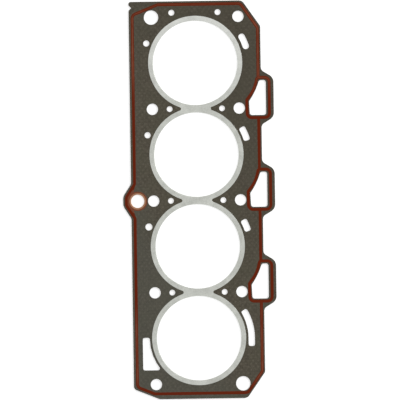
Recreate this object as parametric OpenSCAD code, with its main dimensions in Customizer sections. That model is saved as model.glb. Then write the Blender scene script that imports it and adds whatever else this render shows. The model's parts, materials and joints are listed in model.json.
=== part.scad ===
// Composite cylinder head gasket for a four-cylinder in-line engine.
// A tanged steel core lies between two soft facings. A one-piece sheet-metal armour is folded
// through the four bores, an eyelet lines the oil feed, and a printed silicone bead seals the
// edge on each face. X runs across the engine, Y along the crank and Z towards the head.
// The origin is the middle of the bolt grid, in the plane on which the armour rests.

/* [Cylinder bores] */
// Clear diameter through the armour
bore_d = 81.9; // [78:0.1:86]
// Least distance between two neighbouring clear bores
bore_web = 7.1; // [6:0.1:9]
// Width of the armour's flange on the face, outside the clear bore
flange_w = 4.7; // [4.2:0.1:5]
// Radius of the armour's edge in the corner between two bores
web_fillet = 1.7; // [1:0.1:2.5]
// Gap between the lower flanges of two neighbouring bores
flange_split = 0.4; // [0.2:0.1:1]

/* [Sheets] */
// Thickness of the steel core
core_t = 0.42; // [0.2:0.01:0.6]
// Thickness of each soft facing
facing_t = 0.54; // [0.5:0.01:0.8]
// Thickness of the armour's sheet
armour_t = 0.25; // [0.2:0.01:0.3]
// Height of the armour's flange above the facing
armour_proud = 0.18; // [0.15:0.01:0.19]
// Outside radius of the armour's folds
fold_r = 0.5; // [0.4:0.05:0.6]
// Play between a folded piece and the edge of the sheets in it
fold_gap = 0.05; // [0.02:0.01:0.1]
// Play between a flange's edge and its pressed seat in the facing
seat_gap = 0.1; // [0.05:0.01:0.2]

/* [Bolt grid] */
// Distance between the two bolts of a row
bolt_span = 84.3; // [82:0.1:88]
// Diameter of a head bolt's hole
bolt_d = 11; // [10.4:0.1:12]
// Diameter of the two holes that also take a locating dowel
dowel_d = 14; // [13:0.1:14.4]

/* [Outline] */
// From the left-hand bolts' middles to the left edge
left_margin = 21.75; // [21:0.05:24]
// From the right-hand bolts' middles to the right edge
right_margin = 21.35; // [21:0.05:24]
// From the last bolt row to the top edge
top_margin = 15.4; // [14:0.1:18]
// From the first bolt row to the bottom edge
bottom_margin = 14.2; // [14:0.1:18]
// Width of the cut across each right-hand corner
right_chamfer_w = 17.4; // [15:0.1:18]
// Length of the cut across each right-hand corner
right_chamfer_l = 25; // [22:0.1:26]
// Width of the cut across the bottom left corner
left_chamfer_w = 24.8; // [22:0.1:27]
// Length of the cut across the bottom left corner
left_chamfer_l = 10; // [8:0.1:11]
// Radius at the outline's plain corners
corner_r = 4; // [2:0.1:6]
// Radius where each right-hand corner cut meets the top or bottom edge
chamfer_r = 6; // [4:0.1:8]
// Radius at the top left corner, over the locating nick
nick_corner_r = 2; // [1:0.1:2.2]
// From the top edge down to the middle of the locating nick
nick_drop = 6; // [5:0.1:8]
// Depth of the locating nick
nick_depth = 2.6; // [1.5:0.1:3]
// Half the width of the locating nick at the edge
nick_half_w = 2.7; // [2:0.1:3]
// Radius at the mouth of the locating nick
nick_mouth_r = 0.9; // [0.5:0.1:1]
// Radius at the bottom of the locating nick
nick_root_r = 0.5; // [0.3:0.1:0.8]

/* [Pushrod ears] */
// Width of the sheet outside an ear port
ear_rim = 7.4; // [7:0.1:9]
// From a port's lower side down to its ear's lower corner
ear_low_rim = 2.1; // [2:0.1:3]
// From a port's upper side up to its ear's upper corner
ear_high_rim = 2.3; // [2:0.1:3]
// Distance along the edge that each sloping side of an ear takes
ear_slope = 7.3; // [6:0.1:9]
// Radius at an ear's outer corners
ear_r = 8; // [5:0.1:9]
// Radius where an ear meets the edge
ear_root_r = 5; // [2:0.1:6]
// Width of the sheet between a bolt hole and an ear port
port_wall = 4.65; // [4:0.05:6]
// Width of an ear port along its lower side
port_low_w = 15.9; // [14:0.1:18]
// Width of an ear port along its upper side
port_top_w = 6.5; // [5:0.1:8]
// From the bolt row down to an ear port's lower side
port_low = 7; // [6:0.1:7.5]
// From the bolt row up to an ear port's upper side
port_high = 27; // [26:0.1:27.2]
// From the bolt row up to the knee of an ear port's inner side
port_knee = 6.5; // [5:0.1:8]
// Radius at an ear port's corners
port_corner_r = 2.4; // [1:0.1:3]

/* [Oil feed] */
// From the left-hand bolts' middles out to the oil feed hole
oil_step = 15.55; // [15:0.05:18]
// Clear diameter of the oil feed's eyelet
oil_d = 12.9; // [11:0.1:13]
// Width of the eyelet's flange
eyelet_w = 1.6; // [1.4:0.1:1.8]
// Thickness of the eyelet's sheet
eyelet_t = 0.2; // [0.15:0.01:0.25]
// Outer radius of the eyelet's folds
eyelet_fold_r = 0.4; // [0.3:0.05:0.6]
// Height of the eyelet's flange above the facing
eyelet_proud = 0.12; // [0.05:0.01:0.14]
// Width of the sheet outside the eyelet, at the lobe round the oil feed
lobe_rim = 5.95; // [5.5:0.05:8]
// Half the length of the lobe at its outer edge
lobe_nose = 4.8; // [4:0.1:6]
// Half the length of the lobe where it meets the edge
lobe_root = 16.8; // [16:0.1:19]
// Radius at the lobe's outer corners
lobe_r = 9; // [4:0.1:10]
// Radius where the lobe meets the edge
lobe_root_r = 6; // [3:0.1:8]

/* [Coolant passages] */
// Diameter of the holes between two bores
web_hole_d = 5.6; // [4:0.1:6]
// From the bore line to the holes between two bores
web_hole_x = 25.4; // [25:0.1:26.5]
// Diameter of the two holes at the top edge
top_hole_d = 5.8; // [4:0.1:6]
// From the bore line to each hole at the top edge
top_hole_x = 22.4; // [20:0.1:25]
// From the last bolt row up to the holes at the top edge
top_hole_y = 4.4; // [4:0.1:5]
// From the armour's edge to the passages that follow a bore
passage_gap = 2.25; // [1.8:0.05:2.5]
// Width of the slots that follow a bore
slot_w = 6.2; // [5:0.1:6.5]
// Radius at the corners of a slot or of the left-hand port
slot_corner_r = 1.9; // [0.8:0.1:2]
// Length of the straight end of the long slot, below its bore's middle
slot_tail = 8.4; // [6:0.1:12]
// Width of the left-hand port beside its bore's middle
left_port_w = 6.8; // [5:0.1:8]
// From the bore's middle up to the left-hand port's upper side
left_port_rise = 1; // [0.5:0.1:3]
// From the bore's middle down to the left-hand port's lower side
left_port_drop = 30.7; // [28:0.1:31]

/* [Sealing bead] */
// Width of the printed bead
bead_w = 2.9; // [2:0.1:3.2]
// Height of the bead above the facing, lower than the armour
bead_h = 0.12; // [0.08:0.01:0.14]
// Width of the bead's flat crown
bead_crown = 1.6; // [0.6:0.1:1.8]
// Width of the finer bead round the oil feed
oil_bead_w = 1.2; // [0.8:0.1:1.3]
// From the top edge, the corner cuts and the lobe to the bead's middle
bead_inset = 3.1; // [2.6:0.1:3.4]
// From the left edge to the bead's middle
bead_inset_left = 3.4; // [2.6:0.1:3.6]
// From the right edge to the bead's middle
bead_inset_right = 2.7; // [2.4:0.1:3.4]
// From the bottom edge to the bead's middle
bead_inset_bottom = 5.2; // [5:0.1:5.8]
// From the bottom right corner cut to the bead's middle, clear of the dowel hole
bead_inset_dowel = 2.6; // [2.3:0.1:2.8]
// Width of the bead's own cut across the nicked corner
bead_cut_w = 27.5; // [25:0.1:29]
// Length of the bead's own cut across the nicked corner
bead_cut_l = 11; // [10:0.1:12]
// Radius of the bead's bends
bead_bend = 4.5; // [3:0.1:5.5]
// Radius of the tight bends on the inner side of a port's loop
bead_bend_inner = 2.25; // [1.5:0.05:2.6]
// From an ear port's outer side to the bead's middle
bead_port_outer = 3.2; // [2.8:0.1:3.6]
// From an ear port's other sides to the bead's middle
bead_port_inner = 2.5; // [2:0.1:2.8]

/* [Hidden] */

// Number of cylinders, and the bores and bolt rows that follow from it, from the bottom up
cylinders = 4;
bore_pitch = bore_d + bore_web;
bore_ys = [for (i = [0:cylinders - 1]) (i - (cylinders - 1) / 2) * bore_pitch];
row_ys = [for (i = [0:cylinders]) (i - cylinders / 2) * bore_pitch];
ear_rows = [for (i = [1:cylinders - 1]) row_ys[i]];
first_row = row_ys[0];
last_row = row_ys[cylinders];

// Heights of the layers above the plane on which the armour rests
body_z = armour_proud;
core_z = body_z + facing_t;
upper_z = core_z + core_t;
body_top = upper_z + facing_t;
armour_top = body_top + armour_proud;

// The armour and the eyelet
bore_r = bore_d / 2;
flange_r = bore_r + flange_w;
oil_r = oil_d / 2;
eyelet_r = oil_r + eyelet_w;
oil_at = [-bolt_span / 2 - oil_step, 0];
// The flat flange begins past the end of the fold, inside the folded collar's own short flange
fold_lap = 1;

// Passages that follow a bore
passage_r = flange_r + passage_gap;
// Small slots on the right: bore, first angle, last angle, shift outwards, corner radius
round_end_flat = 0.2;
small_slots = [[1, 16, 29.5, 0, slot_corner_r],
               [2, 14.8, 30.5, 0, slot_corner_r],
               [3, 14.2, 31.9, 0.7, (slot_w - round_end_flat) / 2]];
long_slot_end = 31.5;
// Round holes on the left: bore and diameter
side_holes = [[1, 6.8], [2, 6], [3, 6]];
side_hole_angle = 157.6;

// Edges of the outline
top_y = last_row + top_margin;
bottom_y = first_row - bottom_margin;
left_edge = bolt_span / 2 + left_margin;
right_edge = bolt_span / 2 + right_margin;
lobe_reach = eyelet_r + lobe_rim - oil_at.x;

// An ear port's sides, the radius of its sloping side about the bore above it, and its ear
port_near = (bolt_span + bolt_d) / 2 + port_wall;
port_reach = port_near + port_low_w;
port_arc_r = norm([port_reach - port_top_w, bore_pitch / 2 - port_high]);
ear_reach = port_reach + ear_rim;
ear_low = port_low + ear_low_rim;
ear_high = port_high + ear_high_rim;

// Angle on the fine bead round the oil feed at which it is tied to the edge's run
oil_tie_angle = 125;

// How far a cut runs past the face that it opens
cut_over = 1;

// Fineness of curves, in degrees, and how many sides stand in for a full circle
arc_step = 5;
fold_step = 15;
bead_step = 30;
oil_ring_step = 12;
bead_sides = 8;
soften_sides = 36;
$fn = 128;

function unit(v) = v / norm(v);
function flat(p) = [p.x, p.y];

// Points along an arc about a centre
function arc(centre, r, a0, a1, step = arc_step) =
    let (n = max(1, ceil(abs(a1 - a0) / step)))
    [for (i = [0:n]) let (a = a0 + (a1 - a0) * i / n) centre + r * [cos(a), sin(a)]];

// Points that turn one corner [x, y, radius] between its neighbours
function turn(before, at, after, step) =
    let (p = flat(at), u = unit(flat(before) - p), v = unit(flat(after) - p),
         half = acos(u * v) / 2, c = p + unit(u + v) * at.z / sin(half),
         start = p + u * at.z / tan(half) - c, way = sign(v.x * u.y - v.y * u.x),
         a0 = atan2(start.y, start.x))
    at.z == 0 ? [p] : arc(c, at.z, a0, a0 + way * (180 - 2 * half), step);

// A closed outline, and an open run, with each corner rounded to its own radius
function rounded(corners, step = arc_step) =
    let (n = len(corners))
    [for (i = [0:n - 1]) each turn(corners[(i + n - 1) % n], corners[i], corners[(i + 1) % n], step)];
function rounded_run(corners, step = arc_step) =
    let (n = len(corners))
    [flat(corners[0]),
     for (i = [1:n - 2]) each turn(corners[i - 1], corners[i], corners[i + 1], step),
     flat(corners[n - 1])];

// An arc without its last point, at which the next arc of a closed outline begins
function link(centre, r, a0, a1) =
    let (points = arc(centre, r, a0, a1))
    [for (i = [0:len(points) - 2]) points[i]];

// Outline of circles about the bores, with a fillet of the given radius in each corner between two
function siamese(r, fillet) =
    let (half = bore_pitch / 2, x = sqrt(pow(r + fillet, 2) - pow(half, 2)), a = atan2(half, x),
         last = cylinders - 1)
    [for (i = [0:last]) each concat(
         link([0, bore_ys[i]], r, i == 0 ? -90 : -a, i == last ? 90 : a),
         i == last ? [] : link([x, bore_ys[i] + half], fillet, 180 + a, 180 - a)),
     for (i = [last:-1:0]) each concat(
         link([0, bore_ys[i]], r, i == last ? 90 : 180 - a, i == 0 ? 270 : 180 + a),
         i == 0 ? [] : link([-x, bore_ys[i] - half], fillet, a, -a))];

// Section of a sheet folded into a U round a hole: clear radius, flange radius, heights, sheet
function folded_section(r0, r1, z0, z1, t, bend) =
    let (c = r0 + bend)
    concat([[r1, z0]], arc([c, z0 + bend], bend, 270, 180, fold_step),
           arc([c, z1 - bend], bend, 180, 90, fold_step),
           [[r1, z1], [r1, z1 - t]], arc([c, z1 - bend], bend - t, 90, 180, fold_step),
           arc([c, z0 + bend], bend - t, 180, 270, fold_step), [[r1, z0 + t]]);

// Corners of an ear on a bolt row, from its lower root to its upper root
function ear_corners(row) =
    [[right_edge, row - ear_low - ear_slope, ear_root_r], [ear_reach, row - ear_low, ear_r],
     [ear_reach, row + ear_high, ear_r], [right_edge, row + ear_high + ear_slope, ear_root_r]];

// The gasket's outline, anticlockwise from the bottom right corner
outline = concat(
    [[right_edge - right_chamfer_w, bottom_y, chamfer_r],
     [right_edge, bottom_y + right_chamfer_l, corner_r]],
    [for (row = ear_rows) each ear_corners(row)],
    [[right_edge, top_y - right_chamfer_l, corner_r],
     [right_edge - right_chamfer_w, top_y, chamfer_r],
     [-left_edge, top_y, nick_corner_r],
     [-left_edge, top_y - nick_drop + nick_half_w, nick_mouth_r],
     [-left_edge + nick_depth, top_y - nick_drop, nick_root_r],
     [-left_edge, top_y - nick_drop - nick_half_w, nick_mouth_r],
     [-left_edge, lobe_root, lobe_root_r],
     [-lobe_reach, lobe_nose, lobe_r],
     [-lobe_reach, -lobe_nose, lobe_r],
     [-left_edge, -lobe_root, lobe_root_r],
     [-left_edge, bottom_y + left_chamfer_l, corner_r],
     [-left_edge + left_chamfer_w, bottom_y, corner_r]]);

module each_bore() {
    for (y = bore_ys) translate([0, y]) children();
}

// Rounds the outward corners of a flat shape
module soften(r) {
    offset(r = r, $fn = soften_sides) offset(delta = -r) children();
}

// Part of a ring about a bore, between two angles, with softened corners
module curved_slot(bore, r0, a0, a1, corner) {
    soften(corner)
        polygon(concat(arc([0, bore_ys[bore]], r0 + slot_w, a0, a1),
                       arc([0, bore_ys[bore]], r0, a1, a0)));
}

// The long slot follows the bottom bore and ends in a straight tail
module long_slot() {
    y = bore_ys[0];
    soften(slot_corner_r)
        polygon(concat([[passage_r, y - slot_tail], [passage_r + slot_w, y - slot_tail]],
                       arc([0, y], passage_r + slot_w, 0, long_slot_end),
                       arc([0, y], passage_r, long_slot_end, 0)));
}

// The left-hand port has three straight sides and one that follows the bottom bore
module left_port() {
    y = bore_ys[0];
    soften(slot_corner_r)
        difference() {
            translate([-passage_r - left_port_w, y - left_port_drop])
                square([left_port_w + passage_r * (1 - cos(asin(left_port_drop / passage_r))),
                        left_port_drop + left_port_rise]);
            translate([0, y]) circle(r = passage_r);
        }
}

// Angle, seen from the bore above an ear, at which a circle of radius r is at height h over its row
function ear_angle(h, r) = -asin((bore_pitch / 2 - h) / r);

// An ear port: upright sides, and a slope that follows the bore above it down to a knee
module ear_port(row) {
    c = [0, row + bore_pitch / 2];
    soften(port_corner_r)
        polygon(concat([[port_near, row - port_low], [port_reach, row - port_low],
                        [port_reach, row + port_high]],
                       arc(c, port_arc_r, ear_angle(port_high, port_arc_r),
                           ear_angle(port_knee, port_arc_r))));
}

module round_hole(at, d) {
    translate(at) circle(d = d);
}

// The dowels are at the top left and bottom right corners
function takes_dowel(row, side) = (row == last_row && side < 0) || (row == first_row && side > 0);

// All the water, bolt, dowel and ear openings that the three sheets share
module openings() {
    for (row = row_ys, side = [-1, 1])
        round_hole([side * bolt_span / 2, row], takes_dowel(row, side) ? dowel_d : bolt_d);
    for (row = ear_rows, side = [-1, 1]) round_hole([side * web_hole_x, row], web_hole_d);
    for (side = [-1, 1]) round_hole([side * top_hole_x, last_row + top_hole_y], top_hole_d);
    for (h = side_holes)
        round_hole([0, bore_ys[h[0]]] + (passage_r + slot_w / 2)
                   * [cos(side_hole_angle), sin(side_hole_angle)], h[1]);
    for (s = small_slots) curved_slot(s[0], passage_r + s[3], s[1], s[2], s[4]);
    for (row = ear_rows) ear_port(row);
    long_slot();
    left_port();
}

// One sheet of the laminate, seen flat
module sheet() {
    difference() {
        polygon(rounded(outline));
        each_bore() circle(r = bore_r + fold_r + fold_gap);
        round_hole(oil_at, oil_d + 2 * (eyelet_fold_r + fold_gap));
        openings();
    }
}

// A soft facing with its outer face up, pressed down under the armour and the eyelet
module facing() {
    armour_seat = armour_t - armour_proud;
    eyelet_seat = eyelet_t - eyelet_proud;
    difference() {
        linear_extrude(facing_t) sheet();
        translate([0, 0, facing_t - armour_seat])
            linear_extrude(armour_seat + cut_over)
                polygon(siamese(flange_r + seat_gap, web_fillet - seat_gap));
        translate([oil_at.x, oil_at.y, facing_t - eyelet_seat])
            cylinder(h = eyelet_seat + cut_over, r = eyelet_r + seat_gap);
    }
}

module core_plate() {
    color("slategray") translate([0, 0, core_z]) linear_extrude(core_t) sheet();
}

module upper_facing() {
    color("#4f4c42") translate([0, 0, upper_z]) facing();
}

module lower_facing() {
    color("#4f4c42") translate([0, 0, core_z]) mirror([0, 0, 1]) facing();
}

module bore_armour() {
    root_r = bore_r + fold_r;
    color("#c6c8c3") {
        // Upper flange, in one piece across the webs
        translate([0, 0, armour_top - armour_t])
            linear_extrude(armour_t)
                difference() {
                    polygon(siamese(flange_r, web_fillet));
                    each_bore() circle(r = root_r + fold_lap / 2);
                }
        // Collar through each bore, folded outwards at both ends
        each_bore()
            rotate_extrude()
                polygon(folded_section(bore_r, root_r + fold_lap, 0, armour_top, armour_t, fold_r));
        // Lower flanges, cut apart between neighbouring bores
        linear_extrude(armour_t)
            difference() {
                each_bore() circle(r = flange_r);
                each_bore() circle(r = root_r + fold_lap / 2);
                for (row = ear_rows)
                    translate([-flange_r, row - flange_split / 2])
                        square([2 * flange_r, flange_split]);
            }
    }
}

module oil_eyelet() {
    color("#ba917b")
        translate(oil_at)
            rotate_extrude()
                polygon(folded_section(oil_r, eyelet_r, body_z - eyelet_proud,
                                       body_top + eyelet_proud, eyelet_t, eyelet_fold_r));
}

// Corners of the bead's closed loop round an ear port
function port_bead(row) =
    let (d = bead_port_inner, c = [0, row + bore_pitch / 2], r = port_arc_r - d,
         a0 = ear_angle(port_high + d, r), a1 = ear_angle(port_knee + d / 2, r), a = (a0 + a1) / 2,
         x = port_reach + bead_port_outer)
    [[x, row - port_low - d, bead_bend],
     [x, row + port_high + d, bead_bend],
     concat(c + r * [cos(a0), sin(a0)], [bead_bend_inner]),
     concat(c + r / cos(a0 - a) * [cos(a), sin(a)], [r / 2]),
     concat(c + r * [cos(a1), sin(a1)], [bead_bend_inner]),
     [port_near - d, row - port_low - d, bead_bend]];

// Where a line through p and q, moved left by d, meets one through q and r, moved left by e
function inner_corner(p, q, r, d, e) =
    let (u = unit(q - p), v = unit(r - q), m = [-u.y, u.x], n = [-v.y, v.x])
    q + d * m + u * ((e - d * (m * n)) / (u * n));

// The edges that the outer bead follows, anticlockwise from the top ear to the bottom one:
// the corner at which each begins, and how far inside it the bead lies
bead_guide = [[right_edge, last_row - bore_pitch, bead_inset_right],
              [right_edge, top_y - right_chamfer_l, bead_inset],
              [right_edge - right_chamfer_w, top_y, bead_inset],
              [-left_edge + bead_cut_w, top_y, bead_inset],
              [-left_edge, top_y - bead_cut_l, bead_inset_left],
              [-left_edge, lobe_root, bead_inset],
              [-lobe_reach, lobe_nose, bead_inset],
              [-lobe_reach, -lobe_nose, bead_inset],
              [-left_edge, -lobe_root, bead_inset_left],
              [-left_edge, bottom_y + left_chamfer_l, bead_inset],
              [-left_edge + left_chamfer_w, bottom_y, bead_inset_bottom],
              [right_edge - right_chamfer_w, bottom_y, bead_inset_dowel],
              [right_edge, bottom_y + right_chamfer_l, bead_inset_right],
              [right_edge, first_row + bore_pitch, 0]];

// Line of the bead down the right-hand edge, and where it meets a port's loop above and below it
bead_right = right_edge - bead_inset_right;
loop_top = port_high + bead_port_inner;
loop_low = -port_low - bead_port_inner;

// The bead's run round the outer edge
function edge_bead() =
    let (g = bead_guide, last = len(g) - 1)
    concat([[bead_right, last_row - bore_pitch + loop_top, 0]],
           [for (i = [1:last - 1])
                concat(inner_corner(flat(g[i - 1]), flat(g[i]), flat(g[i + 1]), g[i - 1].z, g[i].z),
                       [bead_bend])],
           [[bead_right, first_row + bore_pitch + loop_low, 0]]);

// One dab of silicone, and the ridge that is laid through a list of points
module dab(at, w) {
    translate(at)
        cylinder(h = bead_h, d1 = w, d2 = w * bead_crown / bead_w, $fn = bead_sides);
}

module ridge(points, w = bead_w) {
    for (i = [0:len(points) - 2])
        hull() {
            dab(points[i], w);
            dab(points[i + 1], w);
        }
}

module closed_ridge(points, w = bead_w) {
    ridge(concat(points, [points[0]]), w);
}

// The whole bead, on the plane of its facing
module bead() {
    oil_ring_r = eyelet_r + seat_gap + oil_bead_w / 2;
    ridge(rounded_run(edge_bead(), bead_step));
    for (row = ear_rows) closed_ridge(rounded(port_bead(row), bead_step));
    // Straight runs down the edge from one ear to the next
    for (i = [1:cylinders - 2])
        ridge([[bead_right, row_ys[i] + loop_top], [bead_right, row_ys[i + 1] + loop_low]]);
    // A finer ring round the oil feed, tied to the edge's run at both ends of the lobe
    ridge(arc(oil_at, oil_ring_r, 0, 360, oil_ring_step), oil_bead_w);
    for (side = [-1, 1])
        ridge([oil_at + oil_ring_r * [cos(oil_tie_angle), side * sin(oil_tie_angle)],
               [-left_edge + bead_inset_left, side * (lobe_root - bead_w / 2)]], oil_bead_w);
}

module upper_bead() {
    color("#6b2a10") translate([0, 0, body_top]) bead();
}

module lower_bead() {
    color("#6b2a10") translate([0, 0, body_z]) mirror([0, 0, 1]) bead();
}

core_plate();
lower_facing();
upper_facing();
bore_armour();
lower_bead();
upper_bead();
oil_eyelet();
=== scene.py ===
"""Looks, light and camera of a composite cylinder head gasket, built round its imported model."""
import json
import logging
import math
import random
from collections.abc import Iterable, Sequence
from dataclasses import dataclass
from enum import Enum, auto

import bmesh
import bpy
from mathutils import Matrix, Vector
from mathutils.bvhtree import BVHTree


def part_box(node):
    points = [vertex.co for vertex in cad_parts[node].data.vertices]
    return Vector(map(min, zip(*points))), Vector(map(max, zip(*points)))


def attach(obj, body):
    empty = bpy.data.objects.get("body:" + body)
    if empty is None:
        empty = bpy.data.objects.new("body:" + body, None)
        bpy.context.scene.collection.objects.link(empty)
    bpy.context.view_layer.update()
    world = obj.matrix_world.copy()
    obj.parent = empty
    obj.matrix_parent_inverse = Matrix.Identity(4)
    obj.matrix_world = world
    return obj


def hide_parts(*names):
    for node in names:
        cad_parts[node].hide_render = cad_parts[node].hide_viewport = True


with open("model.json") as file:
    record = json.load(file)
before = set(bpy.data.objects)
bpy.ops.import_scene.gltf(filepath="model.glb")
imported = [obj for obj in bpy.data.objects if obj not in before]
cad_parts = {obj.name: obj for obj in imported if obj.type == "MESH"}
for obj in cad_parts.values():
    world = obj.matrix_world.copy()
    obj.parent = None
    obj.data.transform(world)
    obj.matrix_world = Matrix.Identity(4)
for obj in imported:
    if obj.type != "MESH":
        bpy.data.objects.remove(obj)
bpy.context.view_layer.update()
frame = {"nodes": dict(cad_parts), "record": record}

LOG = logging.getLogger("gasket")
MM = 0.001
UP = Vector((0.0, 0.0, 1.0))

# Greatest angles between two points of an arc, in degrees
CORNER_STEP = 6.0
FOLD_STEP = 9.0
INNER_FOLD_STEP = 15.0

# Points closer than this become one, in millimetres
MERGE = 0.001

# Most of a noise pattern lies between these two values
NOISE_LOW = 0.3
NOISE_HIGH = 0.7

WHITE = (1.0, 1.0, 1.0)

Colour = tuple[float, float, float]
Range = tuple[float, float]
Socket = bpy.types.NodeSocket
Shape = bmesh.types.BMesh


def metres(lengths: Iterable[float]) -> list[float]:
    """Turns lengths from millimetres to metres."""
    return [length * MM for length in lengths]


class Reading(Enum):
    """How a noise pattern is scaled along X, Y and Z. A low scale draws it out that way."""

    EVEN = (1.0, 1.0, 1.0)
    ALONG_Y = (1.0, 0.12, 1.0)


class Sum(Enum):
    """How a material works one number out of two. The last two read only the first."""

    ADD = auto()
    SUBTRACT = auto()
    MULTIPLY = auto()
    MAXIMUM = auto()
    ABSOLUTE = auto()
    SQRT = auto()


# Flat geometry, in millimetres


def heading(degrees: float) -> Vector:
    """Returns the flat unit vector at an angle, in degrees, from the X axis."""
    return Vector((math.cos(math.radians(degrees)), math.sin(math.radians(degrees))))


def arc(centre: Vector, radius: float, start: float, end: float, step: float) -> list[Vector]:
    """Lays points along an arc.

    Args:
        centre: Middle of the arc.
        radius: Its radius.
        start: Angle of the first point, in degrees.
        end: Angle of the last point, in degrees.
        step: Greatest angle between two points, in degrees.

    Returns:
        The points, both ends among them.
    """
    count = max(1, math.ceil(abs(end - start) / step))
    return [centre + radius * heading(start + (end - start) * k / count)
            for k in range(count + 1)]


@dataclass(frozen=True)
class Corner:
    """A corner of an outline: its place and the radius that rounds it."""

    x: float
    y: float
    radius: float = 0.0

    @property
    def at(self) -> Vector:
        """Returns the corner's place."""
        return Vector((self.x, self.y))


def turn(before: Corner, corner: Corner, after: Corner) -> list[Vector]:
    """Rounds one corner of an outline.

    Args:
        before: The corner before it.
        corner: The corner that is rounded.
        after: The corner after it.

    Returns:
        The points of the arc that takes the corner's place.
    """
    if corner.radius == 0.0:
        return [corner.at]
    back = (before.at - corner.at).normalized()
    ahead = (after.at - corner.at).normalized()
    half = back.angle(ahead) / 2
    centre = corner.at + (back + ahead).normalized() * corner.radius / math.sin(half)
    first = corner.at + back * corner.radius / math.tan(half) - centre
    way = math.copysign(1.0, ahead.x * back.y - ahead.y * back.x)
    start = math.degrees(math.atan2(first.y, first.x))
    end = start + way * (180.0 - 2 * math.degrees(half))
    return arc(centre, corner.radius, start, end, CORNER_STEP)


def rounded_loop(corners: Sequence[Corner]) -> list[Vector]:
    """Returns the points of a closed outline with each corner rounded."""
    count = len(corners)
    return [point for i in range(count)
            for point in turn(corners[i - 1], corners[i], corners[(i + 1) % count])]


def rounded_run(corners: Sequence[Corner]) -> list[Vector]:
    """Returns the points of an open run with each inner corner rounded."""
    inner = [point for i in range(1, len(corners) - 1)
             for point in turn(corners[i - 1], corners[i], corners[i + 1])]
    return [corners[0].at, *inner, corners[-1].at]


def respaced(points: Sequence[Vector], spacing: float, closed: bool) -> list[Vector]:
    """Adds points to the long straights of a run, so that no gap is wider than asked.

    Args:
        points: The run's points.
        spacing: Greatest distance between two neighbours.
        closed: Whether the last point joins the first.

    Returns:
        The run with the added points.
    """
    ends = [*points[1:], points[0]] if closed else points[1:]
    run: list[Vector] = []
    for one, other in zip(points, ends):
        count = max(1, math.ceil((other - one).length / spacing))
        run += [one.lerp(other, k / count) for k in range(count)]
    return run if closed else [*run, points[-1]]


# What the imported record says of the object


@dataclass(frozen=True)
class Cut:
    """A corner that is cut off the sheet: how much of its end and of its side is gone."""

    end: float
    side: float


@dataclass(frozen=True)
class Layout:
    """The gasket's main places in millimetres.

    They are read from the record's mounts and the nodes' boxes. Only the margins outside the bolt
    rows and the cut corners, which neither tells, have values of their own.
    """

    bore_ys: tuple[float, ...]
    bore_radius: float
    bolt_x: float
    oil_at: Vector
    oil_radius: float
    flange_radius: float
    eyelet_radius: float
    lobe_reach: float
    ear_reach: float
    top_y: float
    bottom_y: float
    lower_face: float
    upper_face: float
    armour_top: float
    eyelet_low: float
    eyelet_high: float
    right_margin: float = 21.35
    left_margin: float = 21.75
    right_cuts: Cut = Cut(17.4, 25.0)
    top_left_cut: Cut = Cut(27.5, 11.0)
    low_left_cut: Cut = Cut(24.8, 10.0)

    @classmethod
    def read(cls) -> "Layout":
        """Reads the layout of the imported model.

        Returns:
            The layout.
        """
        mounts = {mount["name"]: mount for mount in frame["record"]["mounts"]}
        bores = [mounts[name] for name in sorted(mounts) if name.startswith("cylinder_bore")]
        oil = mounts["oil_feed"]
        low, high = (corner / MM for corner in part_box("upper_facing"))
        armour_low, armour_high = (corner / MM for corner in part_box("bore_armour"))
        eyelet_low, eyelet_high = (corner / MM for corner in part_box("oil_eyelet"))
        return cls(bore_ys=tuple(bore["pos_m"][1] / MM for bore in bores),
                   bore_radius=bores[0]["dims"]["r_mm"],
                   bolt_x=mounts["bolt_rows_outer"]["dims"]["spacing_x_mm"] / 2,
                   oil_at=Vector((oil["pos_m"][0], oil["pos_m"][1])) / MM,
                   oil_radius=oil["dims"]["r_mm"],
                   flange_radius=(armour_high.x - armour_low.x) / 2,
                   eyelet_radius=(eyelet_high.y - eyelet_low.y) / 2,
                   lobe_reach=-low.x,
                   ear_reach=high.x,
                   top_y=high.y,
                   bottom_y=low.y,
                   lower_face=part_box("lower_facing")[0].z / MM,
                   upper_face=high.z,
                   armour_top=armour_high.z,
                   eyelet_low=eyelet_low.z,
                   eyelet_high=eyelet_high.z)

    @property
    def right_edge(self) -> float:
        """Returns how far right the sheet reaches between its ears."""
        return self.bolt_x + self.right_margin

    @property
    def left_edge(self) -> float:
        """Returns how far left the sheet reaches beside its lobe."""
        return self.bolt_x + self.left_margin

    @property
    def pitch(self) -> float:
        """Returns the distance from one bore to the next."""
        return self.bore_ys[1] - self.bore_ys[0]

    @property
    def rows(self) -> tuple[float, ...]:
        """Returns the heights of the bolt rows on the sheet, from the bottom up."""
        return tuple(self.bore_ys[0] + (k - 0.5) * self.pitch
                     for k in range(len(self.bore_ys) + 1))

    @property
    def middle_z(self) -> float:
        """Returns the height of the plane halfway through the sheet."""
        return (self.lower_face + self.upper_face) / 2


# Mesh making


def absorb(target: Shape, part: Shape) -> None:
    """Adds one mesh to another and frees it.

    Args:
        target: The mesh that grows.
        part: The mesh that is added and freed.
    """
    carrier = bpy.data.meshes.new("carrier")
    part.to_mesh(carrier)
    part.free()
    target.from_mesh(carrier)
    bpy.data.meshes.remove(carrier)


def spun(section: Sequence[Vector], centre: Vector, steps: int, closed: bool) -> Shape:
    """Spins a section a full turn about an upright axis.

    Args:
        section: Points of the section, as distance from the axis and height.
        centre: Where the axis stands.
        steps: Number of steps in the turn.
        closed: Whether the section's last point joins its first.

    Returns:
        The turned shell.
    """
    shell = bmesh.new()
    verts = [shell.verts.new((centre.x + point.x, centre.y, point.y)) for point in section]
    ends = [*verts[1:], verts[0]] if closed else verts[1:]
    edges = [shell.edges.new(pair) for pair in zip(verts, ends)]
    bmesh.ops.spin(shell, geom=[*verts, *edges], cent=(centre.x, centre.y, 0.0), axis=UP,
                   angle=2 * math.pi, steps=steps, use_merge=True)
    return shell


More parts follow.
